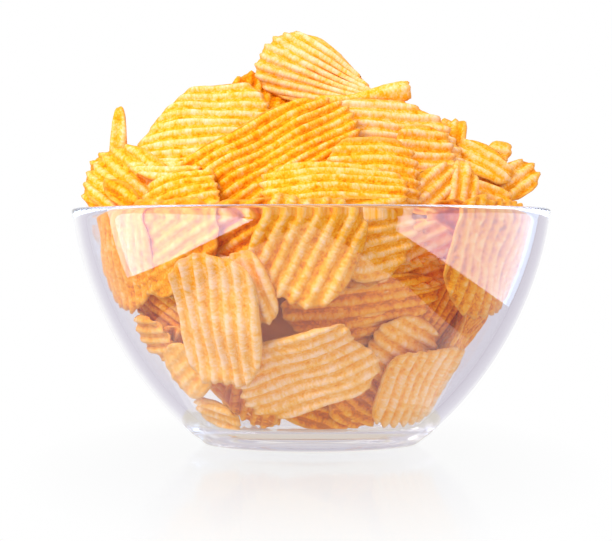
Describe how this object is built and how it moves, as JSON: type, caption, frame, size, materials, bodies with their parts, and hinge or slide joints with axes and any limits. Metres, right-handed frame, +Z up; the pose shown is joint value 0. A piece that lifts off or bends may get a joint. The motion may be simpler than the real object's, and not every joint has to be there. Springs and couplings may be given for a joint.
{
  "type": "bowl of crisps",
  "caption": "Clear glass bowl, round with a small flat foot, heaped above its rim with loose ridged potato crisps.",
  "frame": {"origin": "the middle of the bowl's foot, on the surface it stands on", "axes": "+Z up out of the bowl; -Y towards the side that the heap shows best, +X to its right"},
  "size_m": [0.17, 0.17, 0.1462],
  "materials": {
    "clear_glass": "clear pressed soda-lime glass, fire-polished",
    "fried_potato": "golden fried potato, ridged, lightly oily, deeper orange in the grooves"
  },
  "bodies": {
    "root": {"glass_bowl": "clear_glass", "crisp_heap": "fried_potato"}
  },
  "joints": []
}
